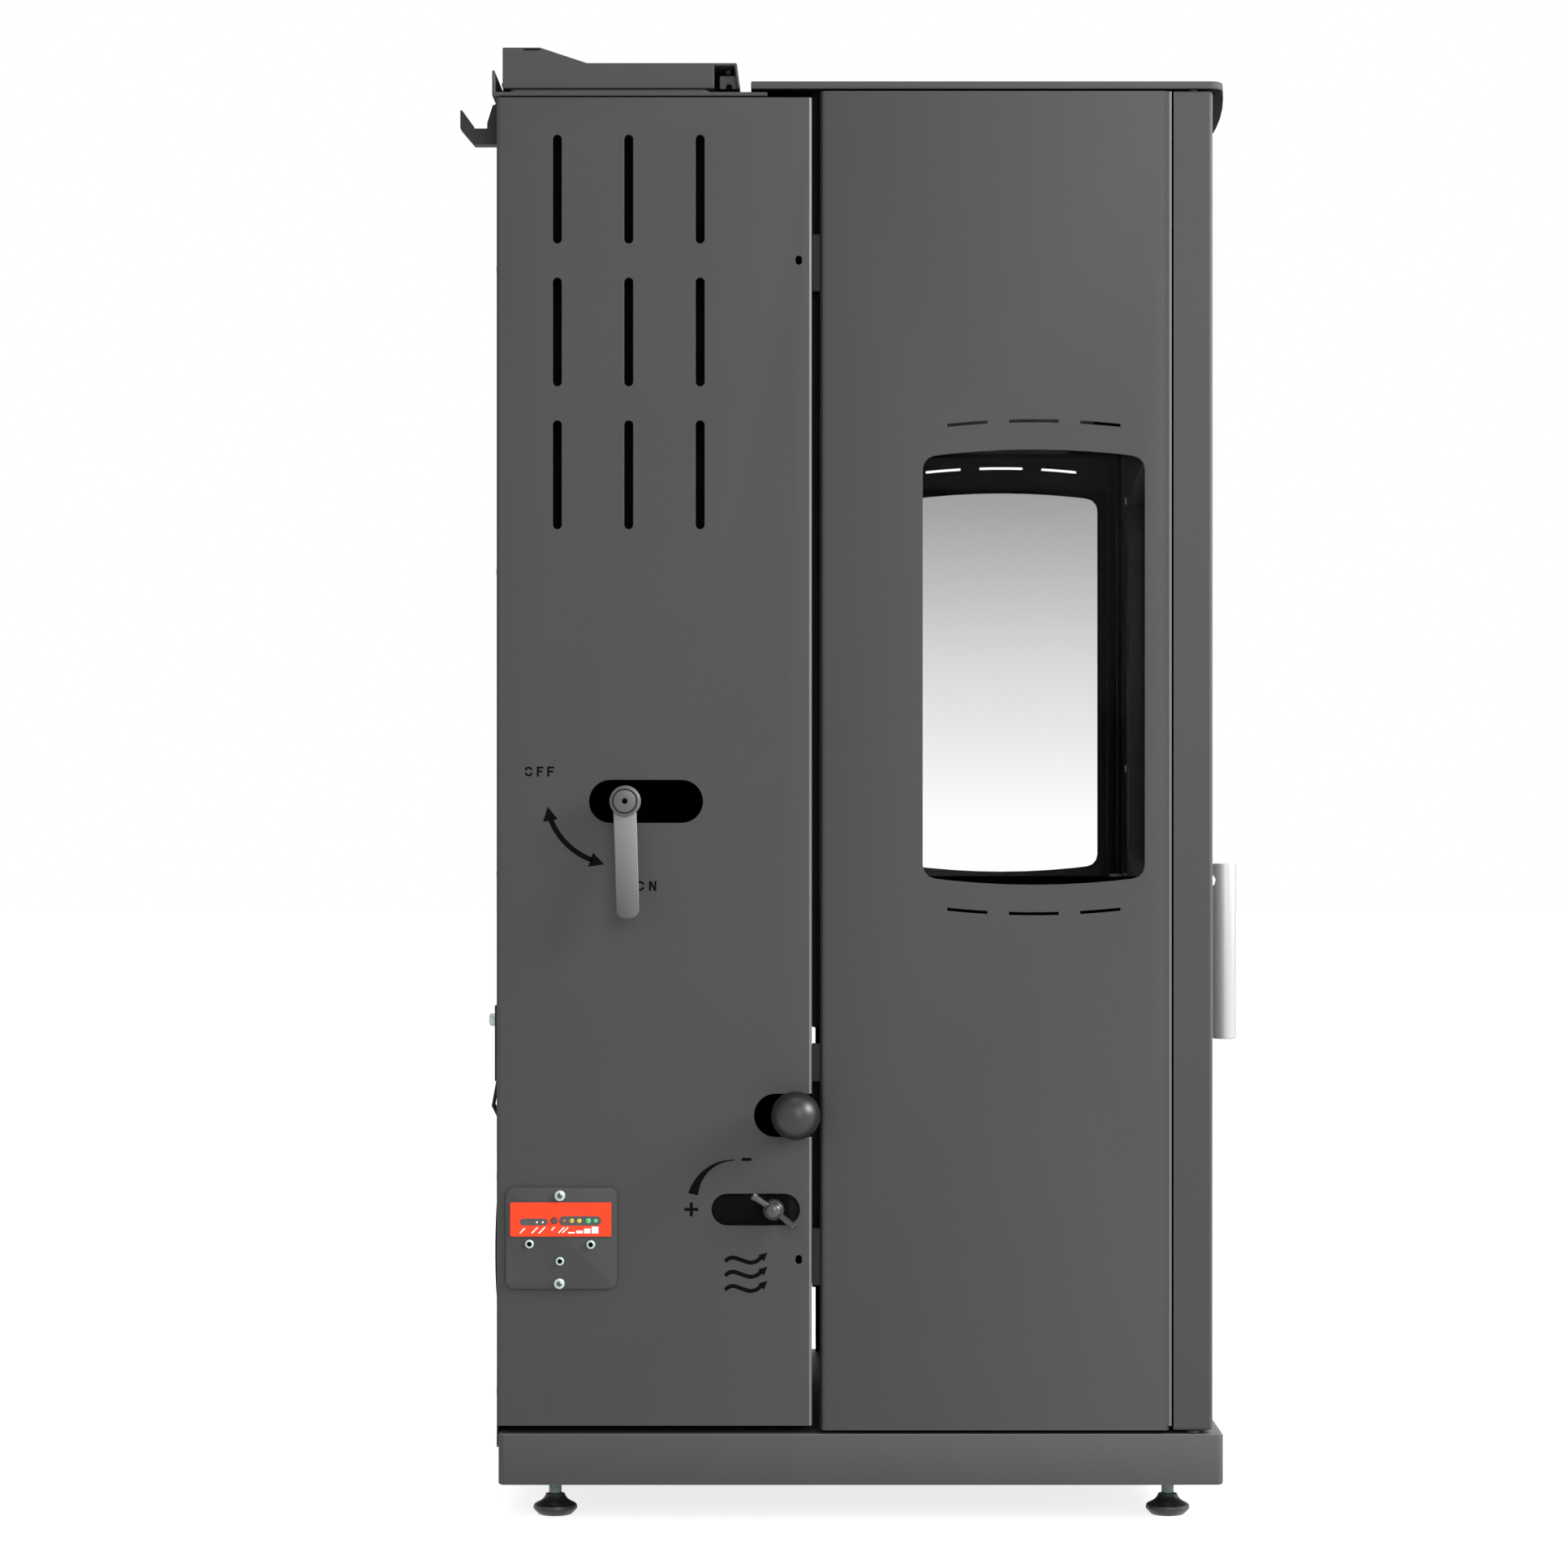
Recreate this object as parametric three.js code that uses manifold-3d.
// A gravity-fed pellet stove: a hopper module behind a see-through fire chamber, on one base.
//
// Millimetres, +Z up. The door faces -Y and the control side faces -X. Places are given as
// (x, depth, z): x across the stove from its middle, depth forwards from the back of the body,
// and z above the floor.

import * as THREE from 'three';
import { ConvexGeometry } from 'three/addons/geometries/ConvexGeometry.js';
import { mergeVertices } from 'three/addons/utils/BufferGeometryUtils.js';
import Module from 'manifold-3d';

const wasm = await Module();
wasm.setup();

// ---------------------------------------------------------------------------------------
// Driving dimensions
// ---------------------------------------------------------------------------------------

// Clearances
const seat = 0.3; // between two pieces that rest on each other
const running = 0.3; // around a shaft or pin in its bore
const slideGap = 0.6; // beside a piece that slides

// Body
const stoveWidth = 480;
const sheet = 2; // outer panels
const bendRadius = 4; // outside radius of their folds
const bodyTop = 1059.5; // top of the window panels and the door
const moduleGap = 6; // dark joint between hopper module and fire chamber
const rearModuleDepth = 233;
const windowPanelDepth = 258.5;
const rearPanelLift = 6; // above the base
const frontPanelLift = 2.5; // above the base
const rearReturn = 14; // fold of a side panel behind the rear panel
const jointReturn = 20; // fold of a side panel at the joint of the modules

// Base and feet
const footGap = 28.5; // floor to the lower edge of the base
const baseHeight = 38;
const baseLip = 8; // ahead of the door
const baseInset = 1; // base's rear face, ahead of the back of the body
const baseWall = 3;
const baseCorner = 5;
const baseBevel = 1.5;
const footInsetX = 45;
const footRearInset = 40;
const footFrontInset = 37.5;
const footPadRadius = 16.5;
const footPadRim = 6; // height of the pad's widest ring
const footNeckRadius = 7.3;
const footNeckHeight = 15.5;
const footStemRadius = 5;
const footStemTop = 58;
const footBossRadius = 11;
const footBossLength = 20;

// Rear panel, clean-out cover and tool hook
const rearPanelThickness = 1;
const rearPanelHalf = 226;
const rearPanelBottom = 54.5;
const rearPanelTop = 1050;
const coverThickness = 1.5;
const coverMiddle = -186;
const coverHalf = 34;
const coverBottom = 326;
const coverTop = 382;
const tabHalf = 12;
const tabDrop = 28;
const tabReach = 5.4;
const hookMiddle = -200;
const hookWidth = 16;
const hookBottom = 1024.6;
const hookReach = 28.1; // tip, behind the rear panel
const hookThickness = 12;
const hookTipRise = 25.5;
const hookTipSheet = 1.4;
const hookBend = 10.2; // from the tip to the start of its upturn
const hookRoot = 8; // reach of the wedge-shaped root from the panel
const hookRootEdge = 4;
const hookRootHeight = 19;

// Slots and holes of the rear side panels
const ventWidth = 6.6;
const ventLength = 80.4;
const ventColumns = 3;
const ventRows = 3;
const ventPitchX = 52.8;
const ventPitchZ = 105.6;
const ventFirstDepth = 44.7;
const ventLowestZ = 775.6; // middle of the lowest row
const leverSlotLength = 84.3;
const leverSlotHeight = 31.8;
const leverSlotDepth = 110.3;
const leverSlotZ = 534.1;
const airSlotLength = 65.4;
const airSlotHeight = 23.4;
const airSlotDepth = 191.4;
const airSlotZ = 232.3;
const tieHoleWidth = 4.8;
const tieHoleHeight = 6.6;
const tieHoleDepth = 223.2;
const tieHoleUpperZ = 934.3;
const tieHoleLowerZ = 195.4;
const notchRadius = 15.9;
const notchDepth = 206.1; // centre of the notch's round end

// Tie clips, seen as grey plates in the joint
const clipUpperZ = 912;
const clipUpperHeight = 42;
const clipLowerZ = 176;
const clipLowerHeight = 42;
const clipSmallZ = 326.8;
const clipSmallHeight = 28;
const clipWidth = 8;
const clipInset = 4;

// Windows
const archRadius = 600;
const windowWidth = 164;
const windowMargin = 18.5; // from the panel's front edge
const windowSill = 472.5;
const windowHead = 794.2;
const windowCorner = 10;
const dashWidth = 2.1;
const dashMiddleHalf = 18.3;
const dashSideStart = 34.4;
const dashSideEnd = 64;
const dashUpperZ = 815.5;
const dashLowerZ = 451;
const doorWindowHalf = 160;

// Top plate and hopper deck
const topPlateThickness = 6;
const topPlateGap = 1.2; // dark line over the window panels
const topPlateRear = 188;
const topPlateOverhang = 7;
const topPlateBow = 15.6;
const topPlateCorner = 10;
const topPlateBevel = 1;
const deckThickness = 3;
const deckTop = 1059;
const deckRear = -3.6;
const deckFront = 200;
const deckHalf = 238;
const upstandHeight = 16;
const deckMouthHalf = 205;
const deckMouthRear = 24;
const deckMouthFront = 141;

// Hopper lid
const lidHalf = 232;
const lidGap = 3.5; // lid's lower edge, over the deck
const lidHeight = 19;
const lidRaise = 11.5; // raised rear, over the rest of the lid
const lidRear = 3.8;
const lidRaisedEnd = 31.5;
const lidSlopeEnd = 66.3;
const lidFront = 160.6;
const lidRim = 12; // inward flange that carries the seal
const hoodReach = 19.4;
const hoodLean = 2.5;
const hoodGussetInset = 4;
const hoodGussetHeight = 10;
const hoodGussetSetback = 4; // rear edge, ahead of the lid
const hoodHole = 4.5; // round hole in each gusset
const hoodHoleSetback = 11;
const hoodHoleRise = 1.5;
const sealWidth = 10;
const sealInset = 3;
const hingeAxisDepth = 0.6;
const hingeDrop = 3; // axis, below the top of the lid
const hingeBarrelRadius = 2.8;
const hingePinRadius = 1.2;
const hingeLeafThickness = 1.5;
const hingeKnuckles = 5;
const hingeKnuckleLength = 60;
const hingeKnuckleGap = 0.4;
const fixedLeafGap = 3; // lower edge, over the deck
const movingLeafGap = 3.5; // lower edge, over the lid's

// Hopper bin, feed housing and chute
const hopperSheet = 2;
const hopperHalf = 204;
const hopperRear = 12;
const hopperDepth = 168;
const hopperRim = 8;
const hopperKneeZ = 720;
const hopperThroatZ = 573.6;
const feedDepth = 95.9; // the feed's centre line and its shaft
const feedShaftZ = 534.4;
const feedSquare = 76; // outside of the housing
const feedHousingBottom = 494.3;
const feedOutletSquare = 56; // outside of the chute's upper end
const feedShaftRadius = 6;
const feedShaftEnd = 52;
const bearingRadius = 11;
const bearingLength = 8;
const flapLength = 68;
const flapWidth = 68;
const flapThickness = 3;
const flapHubRadius = 9;
const chuteSlope = 0.75; // fall for each millimetre forwards
const chuteUpperStart = 490;
const chuteLowerStart = 481.5;

// Feed lever
const leverHubRadius = 12;
const leverHubStart = 3; // off the side panel
const leverHubLength = 13;
const leverHubCap = 4; // metal beyond the shaft's end
const leverDiscRadius = 8.8;
const leverDiscLength = 4;
const leverArmWidth = 17;
const leverArmThickness = 5;
const leverArmLength = 86;
const leverArmFlare = 15;
const leverTilt = 2; // degrees, forwards at rest

// Fire chamber
const plate = 4;
const chamberHalf = 222.4; // outside of the firebox walls
const shelfTop = 466;
const baffleZ = 826;
const baffleSetback = 45.2; // the smoke's way past its front edge
const backPlateThickness = 5.2;
const upperBackBottom = 366.3;
const lowerBackBottom = 173;
const lowerBackTop = 326.6;
const wallOpeningWidth = 182;
const wallOpeningMargin = 11.2; // from the front of the chamber
const wallOpeningBottom = 448;
const wallOpeningTop = 822;
const glassThickness = 4;
const glassOverlap = 10; // above and below the opening
const glassSideOverlap = 6;
const retainerThickness = 1.6;
const retainerBorder = 16;
const seatFrameSide = 17;
const seatFrameBottom = 17;
const seatFrameTop = 20;

// Burn pot, grate and shaker
const potHalfTop = 70;
const potHalfBottom = 50;
const potSetback = 11; // from the rear of the chamber
const potDepthTop = 120;
const potDepthBottom = 90;
const potBottom = 306.6;
const potWall = 4;
const potFlange = 12;
const potFlangeThickness = 3;
const potHoleStart = 20; // first hole, from the rear of the pot
const potHoleRadius = 4;
const potHoleCount = 4;
const potHolePitch = 22;
const potHoleRowLow = 335;
const potHoleRowHigh = 420;
const grateThickness = 6;
const grateTongue = 8; // ahead of the pot's floor
const grateSlotStart = 16; // first slot, from the rear of the pot
const grateSlotMargin = 12;
const grateSlotWidth = 6;
const grateSlotCount = 7;
const grateSlotPitch = 12;
const grateRail = 3; // thickness of the rails' sheet
const grateRailOverlap = 6; // rails, up the sides of the pot
const shakerZ = 303;
const shakerSetback = 12; // rod, from the front of the hopper module
const shakerRadius = 5;
const shakerArmRadius = 3;
const shakerArmX = -30;
const ballRadius = 18;
const ballBoreDepth = 14;
const ballRodDepth = 6; // length of the rod in the bore

// Air damper
const damperThickness = 2;
const damperRear = 150;
const damperFront = 216;
const damperHeight = 40;
const studRadius = 4;
const studReach = 24;
const damperStudDepth = 204.6;
const wingHubRadius = 8;
const wingDomeRadius = 6.2;
const wingHubLength = 8;
const wingDomeLength = 12;
const wingSpan = 40;
const wingHeight = 18;
const wingThickness = 3.2;
const wingTurn = 37; // degrees
const airDuctRear = 140;
const airDuctInner = -70;
const airDuctBottom = 205;
const airDuctTop = 260;
const airPortRear = 178;
const airPortFront = 212;
const airOutletOuter = -130;
const airOutletInner = -76;
const airOutletBottom = 212;
const airOutletTop = 253;

// Smoke way
const ductSheet = 2;
const ductDepth = 36.1;
const ductInnerX = 105;
const ductOuterX = 200;
const ductTop = 900;
const smokeBoxInnerX = -62;
const smokeBoxRear = 130;
const smokeBoxBottom = 120;
const smokeBoxTop = 240;
const smokeHoleBottom = 845;
const smokeHoleTop = 890;
const flueRadius = 50;
const flueWall = 2;
const flueZ = 180;
const flueReach = 14; // proud of the back of the body
const flueCollarRadius = 62;
const flueCollarThickness = 2;

// Door
const doorGap = 3;
const doorThickness = 29;
const doorSheet = 3;
const doorBevel = 2.5;
const linerThickness = 2;
const linerInset = 3.4;
const linerCollar = 3; // sheet of the collar that carries the glass
const doorGlassSetback = 9.5; // behind the front of the door
const doorGlassBorder = 14;
const gasketWidth = 10;
const gasketInset = 3.4;
const gasketCorner = 10;
const hingeInset = 6; // pins, in from the side
const hingeSetback = 14.1; // pins, behind the front of the door
const doorPinRadius = 3.5;
const doorPinReach = 20;
const doorPinFlange = 5.5;
const doorPinFlangeHeight = 1.8;
const doorPinRoot = 4; // length of a pin in the base or the top plate
const doorBossRadius = 5.4;
const doorBossWeb = 3; // metal round a boss
const doorBossCap = 4; // metal beyond a pin's end

// Door handle
const handleX = 194;
const handleRadius = 9.5;
const handleBottom = 333.5;
const handleTop = 479;
const handleStandOff = 53.5; // bar's middle, off the door
const spindleZ = 466;
const spindleRadius = 6;
const spindleBite = 6;
const rosetteRadius = 13;
const rosetteHeight = 4;
const tongueLength = 21;
const tongueHeight = 8;
const tongueThickness = 5;
const tongueGap = 1.7;
const latchRoom = 12; // around the spindle in the shelf

// Ash drawer
const drawerHalf = 135;
const drawerDepth = 226;
const drawerSetback = 21.2; // from the front of the chamber
const drawerBottom = 88;
const drawerHeight = 110;
const drawerWall = 2;
const drawerPullHalf = 40;
const drawerPullReach = 16;
const drawerPullDrop = 12;
const drawerPullZ = 160;
const railWall = 3;
const railLedge = 12;

// Control panel
const controlRear = 6.6;
const controlWidth = 82.2;
const controlBottom = 173.8;
const controlHeight = 75;
const controlCorner = 6;
const controlThickness = 2.5;
const labelRear = 10.2;
const labelWidth = 74.7;
const labelBottom = 212.8;
const labelHeight = 25.2;
const labelThickness = 0.8;
const buttonRadius = 2.2;
const buttonDepth = 42.6;
const buttonZ = 224.5;
const buttonProud = 1;
const buttonTravel = 0.8;

// ---------------------------------------------------------------------------------------
// Levels and planes that follow from them
// ---------------------------------------------------------------------------------------

const half = stoveWidth / 2;
const baseTop = footGap + baseHeight;
const windowPanelRear = rearModuleDepth + moduleGap;
const windowPanelFront = windowPanelRear + windowPanelDepth;
const windowCentre = windowPanelFront - windowMargin - windowWidth / 2;
const doorBack = windowPanelFront + doorGap;
const doorFront = doorBack + doorThickness;
const doorGlassDepth = doorFront - doorGlassSetback;
const hingeX = -half + hingeInset;
const hingeDepth = doorFront - hingeSetback;
const handleDepth = doorFront + handleStandOff;
const baseFront = doorFront + baseLip;
const frontPanelBottom = baseTop + frontPanelLift;
const rearPanelsBottom = baseTop + rearPanelLift;
const deckBottom = deckTop - deckThickness;
const upstandTop = deckTop + upstandHeight;
const lidBottom = deckTop + lidGap;
const lidTop = lidBottom + lidHeight;
const lidRaisedTop = lidTop + lidRaise;
const hingeAxisZ = lidTop - hingeDrop;
const fixedLeafBottom = deckTop + fixedLeafGap;
const movingLeafBottom = lidBottom + movingLeafGap;
const topPlateBottom = bodyTop + topPlateGap;
const panelInner = half - sheet;
const chamberInner = chamberHalf - plate;
const chamberRear = windowPanelRear;
const chamberFront = windowPanelFront - seat; // face that the door's gasket meets
const wallOpeningFront = chamberFront - wallOpeningMargin;
const wallOpeningRear = wallOpeningFront - wallOpeningWidth;
const baffleFront = chamberFront - baffleSetback;
const drawerFront = chamberFront - drawerSetback;
const drawerRear = drawerFront - drawerDepth;
const potRear = chamberRear + potSetback;
const potFrontTop = potRear + potDepthTop;
const potFrontBottom = potRear + potDepthBottom;
const shakerDepth = rearModuleDepth - shakerSetback;
const chamberBottom = baseTop + seat;
const chamberRoof = topPlateBottom - seat;
const wallTop = chamberRoof - plate - seat;
const seatFrameRear = chamberFront - plate;
const backPlateRear = rearModuleDepth + seat;
const grateTop = potBottom - seat;
const grateBottom = grateTop - grateThickness;
const hopperFront = hopperRear + hopperDepth;
const chuteEnd = potRear - seat;
const damperOuterX = panelInner - seat;
const airDuctOuterX = damperOuterX - damperThickness - seat;
const ductFront = backPlateRear - 0.2;
const ductRear = ductFront - ductDepth;

// ---------------------------------------------------------------------------------------
// Solids
// ---------------------------------------------------------------------------------------

const spot = (x, depth, z) => new THREE.Vector3(x, -depth, z);

// A three.js geometry as a solid, with shared corners and its faces pointing out.
function solid(geometry) {
  geometry.deleteAttribute('normal');
  geometry.deleteAttribute('uv');
  const merged = mergeVertices(geometry);
  const places = merged.attributes.position.array;
  const index = merged.index.array;
  const corner = (i) => new THREE.Vector3().fromArray(places, 3 * i);
  const triangles = [];
  let volume = 0;
  for (let i = 0; i < index.length; i += 3) {
    const [a, b, c] = index.slice(i, i + 3);
    if (a !== b && b !== c && c !== a) {
      triangles.push([a, b, c]);
      volume += corner(a).dot(corner(b).cross(corner(c)));
    }
  }
  const outward = volume > 0 ? triangles : triangles.map(([a, b, c]) => [a, c, b]);
  const mesh = new wasm.Mesh({
    numProp: 3,
    vertProperties: new Float32Array(places),
    triVerts: new Uint32Array(outward.flat()),
  });
  return new wasm.Manifold(mesh);
}

const join = (first, ...others) => others.reduce((whole, piece) => whole.add(piece), first);
const cut = (first, ...others) => others.reduce((whole, piece) => whole.subtract(piece), first);

function block(x0, x1, depth0, depth1, z0, z1) {
  const box = new THREE.BoxGeometry(Math.abs(x1 - x0), depth1 - depth0, z1 - z0);
  const middle = spot((x0 + x1) / 2, (depth0 + depth1) / 2, (z0 + z1) / 2);
  return solid(box.translate(...middle));
}

// A round bar between two places.
function bar(from, to, radius, sides = 16) {
  const along = to.clone().sub(from);
  const cylinder = new THREE.CylinderGeometry(radius, radius, along.length(), sides);
  const turn = new THREE.Quaternion().setFromUnitVectors(
    new THREE.Vector3(0, 1, 0),
    along.clone().normalize(),
  );
  cylinder.applyQuaternion(turn);
  const middle = from.clone().addScaledVector(along, 0.5);
  return solid(cylinder.translate(...middle));
}

// A turned piece: a profile of [radius, distance] pairs revolved about a line.
function turned(profile, origin, direction, sides = 24) {
  const points = profile.map(([radius, distance]) => new THREE.Vector2(radius, distance));
  const lathe = new THREE.LatheGeometry(points, sides);
  const turn = new THREE.Quaternion().setFromUnitVectors(new THREE.Vector3(0, 1, 0), direction);
  lathe.applyQuaternion(turn);
  return solid(lathe.translate(...origin));
}

// The convex body around two level rectangles [x0, x1, depth0, depth1, z].
function taper(lower, upper) {
  const corners = [lower, upper].flatMap(([x0, x1, depth0, depth1, z]) => [
    spot(x0, depth0, z),
    spot(x1, depth0, z),
    spot(x1, depth1, z),
    spot(x0, depth1, z),
  ]);
  return solid(new ConvexGeometry(corners));
}

// ---------------------------------------------------------------------------------------
// Outlines and prisms
// ---------------------------------------------------------------------------------------

// A closed outline from corners [a, b, radius]: a radius rounds its corner with an arc.
function outline(corners, steps = 3) {
  const at = (i) => {
    const [a, b] = corners[(i + corners.length) % corners.length];
    return new THREE.Vector2(a, b);
  };
  const points = [];
  corners.forEach(([, , radius = 0], i) => {
    const corner = at(i);
    if (radius === 0) {
      points.push(corner);
      return;
    }
    const back = at(i - 1).sub(corner).normalize();
    const ahead = at(i + 1).sub(corner).normalize();
    const halfAngle = Math.acos(back.dot(ahead)) / 2;
    const inwards = back.clone().add(ahead).normalize();
    const centre = corner.clone().addScaledVector(inwards, radius / Math.sin(halfAngle));
    const reach = radius / Math.tan(halfAngle);
    const start = corner.clone().addScaledVector(back, reach).sub(centre);
    const end = corner.clone().addScaledVector(ahead, reach).sub(centre);
    const sweep = Math.atan2(start.cross(end), start.dot(end));
    const origin = new THREE.Vector2();
    for (let k = 0; k <= steps; k += 1) {
      points.push(start.clone().rotateAround(origin, (sweep * k) / steps).add(centre));
    }
  });
  return new THREE.Shape(points);
}

const rectangle = (a0, a1, b0, b1, radius = 0) =>
  outline([[a0, b0, radius], [a1, b0, radius], [a1, b1, radius], [a0, b1, radius]]);

// A slot with round ends, lying or standing, around its middle.
function slot(a, b, length, width, standing = false, steps = 5) {
  const radius = width / 2;
  const reach = length / 2 - radius;
  const points = [];
  [1, -1].forEach((end) => {
    for (let k = 0; k <= steps; k += 1) {
      const angle = (Math.PI * k) / steps - Math.PI / 2;
      const along = end * (reach + radius * Math.cos(angle));
      const across = end * radius * Math.sin(angle);
      points.push(standing ? new THREE.Vector2(a - across, b + along)
        : new THREE.Vector2(a + along, b + across));
    }
  });
  return new THREE.Shape(points);
}

// How far the shared arch falls away at a distance from its crown.
const archFall = (distance) => distance ** 2 / (2 * archRadius);

// A window outline with arched head and sill and rounded corners.
function archedWindow(centre, halfWidth, sill, head, steps = 8) {
  const edge = archFall(halfWidth);
  const lower = [];
  const upper = [];
  for (let k = 1; k < steps; k += 1) {
    const offset = halfWidth * ((2 * k) / steps - 1);
    lower.push([centre + offset, sill + archFall(offset)]);
    upper.push([centre - offset, head - archFall(offset)]);
  }
  return outline([
    [centre - halfWidth, sill + edge, windowCorner],
    ...lower,
    [centre + halfWidth, sill + edge, windowCorner],
    [centre + halfWidth, head - edge, windowCorner],
    ...upper,
    [centre - halfWidth, head - edge, windowCorner],
  ]);
}

// A thin arched slot between two distances from the crown; up is 1 over a window, -1 below.
function archedDash(centre, from, to, crown, up, steps = 3) {
  const near = [];
  const far = [];
  for (let k = 0; k <= steps; k += 1) {
    const offset = from + ((to - from) * k) / steps;
    const z = crown - up * archFall(offset);
    near.push([centre + offset, z - dashWidth / 2]);
    far.unshift([centre + offset, z + dashWidth / 2]);
  }
  return outline([...near, ...far]);
}

function prism(shape, length, bevel) {
  const geometry = new THREE.ExtrudeGeometry(shape, {
    depth: length - 2 * bevel,
    bevelEnabled: bevel > 0,
    bevelThickness: bevel,
    bevelSize: bevel,
    bevelOffset: -bevel,
    bevelSegments: 2,
  });
  return geometry.translate(0, 0, bevel);
}

const right = new THREE.Vector3(1, 0, 0);
const forwards = new THREE.Vector3(0, -1, 0);
const up = new THREE.Vector3(0, 0, 1);

// A (depth, height) outline, given its thickness from x0 to x1.
function acrossBody(shape, x0, x1, bevel = 0) {
  const frame = new THREE.Matrix4().makeBasis(forwards, up, right.clone().negate());
  frame.setPosition(Math.max(x0, x1), 0, 0);
  return solid(prism(shape, Math.abs(x1 - x0), bevel).applyMatrix4(frame));
}

// An (x, height) outline, given its thickness from depth0 forwards to depth1.
function throughBody(shape, depth0, depth1, bevel = 0) {
  const frame = new THREE.Matrix4().makeBasis(right, up, forwards);
  frame.setPosition(0, -depth0, 0);
  return solid(prism(shape, depth1 - depth0, bevel).applyMatrix4(frame));
}

// An (x, depth) outline, given its thickness from z0 up to z1.
function upBody(shape, z0, z1, bevel = 0) {
  const frame = new THREE.Matrix4().makeBasis(right, forwards, up.clone().negate());
  frame.setPosition(0, 0, z1);
  return solid(prism(shape, z1 - z0, bevel).applyMatrix4(frame));
}

// ---------------------------------------------------------------------------------------
// Finishes and the scene graph
// ---------------------------------------------------------------------------------------

const finish = (color, roughness, metalness) => ({ color, roughness, metalness });
const graphite = finish(0x585858, 0.55, 0.3); // textured paint of the body
const soot = finish(0x181818, 0.8, 0.2); // heat-proof paint inside
const iron = finish(0x2e2e30, 0.75, 0.4);
const steel = finish(0xb8b8b6, 0.3, 0.9);
const greySteel = finish(0x858585, 0.45, 0.6);
const rubber = finish(0x1c1c1c, 0.85, 0);
const rope = finish(0x3a3a38, 0.95, 0);
const bakelite = finish(0x3a3a3a, 0.25, 0);
const orange = finish(0xf0562f, 0.5, 0);
const clear = finish(0xdfe6e6, 0.05, 0);

const stove = new THREE.Group();

function assembly(parent = stove) {
  const group = new THREE.Group();
  parent.add(group);
  return group;
}

function add(group, name, body, look) {
  const { vertProperties, triVerts } = body.getMesh();
  const geometry = new THREE.BufferGeometry();
  geometry.setAttribute('position', new THREE.BufferAttribute(vertProperties, 3));
  geometry.setIndex(new THREE.BufferAttribute(triVerts, 1));
  const material = new THREE.MeshStandardMaterial({ ...look, flatShading: true });
  const mesh = new THREE.Mesh(geometry, material);
  mesh.name = name;
  group.add(mesh);
  return mesh;
}

const sides = [
  { side: -1, word: 'left' },
  { side: 1, word: 'right' },
];

// ---------------------------------------------------------------------------------------
// Base with its feet
// ---------------------------------------------------------------------------------------

const footPlaces = ['rear', 'front'].flatMap((end) => sides.map(({ side, word }) => ({
  name: `foot_${end}_${word}`,
  x: side * (half - footInsetX),
  depth: end === 'rear' ? baseInset + footRearInset : baseFront - footFrontInset,
})));

function baseFrame() {
  const skirt = upBody(rectangle(-half, half, baseInset, baseFront, baseCorner), footGap, baseTop,
    baseBevel);
  const hollow = block(-half + baseWall, half - baseWall, baseInset + baseWall,
    baseFront - baseWall, footGap - 1, baseTop - baseWall);
  const bosses = footPlaces.map(({ x, depth }) => bar(
    spot(x, depth, baseTop - baseWall - footBossLength),
    spot(x, depth, baseTop - 1),
    footBossRadius,
  ));
  const bores = footPlaces.map(({ x, depth }) => bar(
    spot(x, depth, footGap),
    spot(x, depth, footStemTop + seat),
    footStemRadius + running,
  ));
  const pinHole = bar(spot(hingeX, hingeDepth, baseTop - doorPinRoot - seat),
    spot(hingeX, hingeDepth, baseTop + 1), doorPinRadius + running);
  return cut(join(cut(skirt, hollow), ...bosses), ...bores, pinHole);
}

function foot() {
  const profile = [
    [0, 0],
    [footPadRadius * 0.74, 0],
    [footPadRadius, footPadRim * 0.8],
    [footPadRadius * 0.97, footPadRim * 1.2],
    [footNeckRadius * 1.35, footNeckHeight * 0.72],
    [footNeckRadius, footNeckHeight],
    [footStemRadius, footNeckHeight + 1],
    [footStemRadius, footStemTop],
    [0, footStemTop],
  ];
  return turned(profile, new THREE.Vector3(), up, 20);
}

const base = assembly();
add(base, 'base_frame', baseFrame(), graphite);
footPlaces.forEach(({ name, x, depth }) => {
  add(base, name, foot(), rubber).position.copy(spot(x, depth, 0));
});

// ---------------------------------------------------------------------------------------
// Folded side panels
// ---------------------------------------------------------------------------------------

// A side sheet with a fold at each upright edge, as a plan outline.
function foldedSide(side, depth0, depth1, return0, return1, z0, z1) {
  const x = (inwards) => side * (half - inwards);
  const inside = bendRadius - sheet;
  const plan = outline([
    [x(return0), depth0],
    [x(0), depth0, bendRadius],
    [x(0), depth1, bendRadius],
    [x(return1), depth1],
    [x(return1), depth1 - sheet],
    [x(sheet), depth1 - sheet, inside],
    [x(sheet), depth0 + sheet, inside],
    [x(return0), depth0 + sheet],
  ]);
  return upBody(plan, z0, z1);
}

// Cuts an outline through the face of a side sheet.
const punch = (side, shape) => acrossBody(shape, side * (half - sheet - 1), side * (half + 1));

function ventPattern(side) {
  const vents = [];
  for (let column = 0; column < ventColumns; column += 1) {
    for (let row = 0; row < ventRows; row += 1) {
      const depth = ventFirstDepth + column * ventPitchX;
      const z = ventLowestZ + row * ventPitchZ;
      vents.push(punch(side, slot(depth, z, ventLength, ventWidth, true)));
    }
  }
  return vents;
}

function rearSide(side) {
  const body = foldedSide(side, 0, rearModuleDepth, rearReturn, jointReturn,
    rearPanelsBottom, deckBottom - seat);
  return cut(body, ...ventPattern(side));
}

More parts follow.
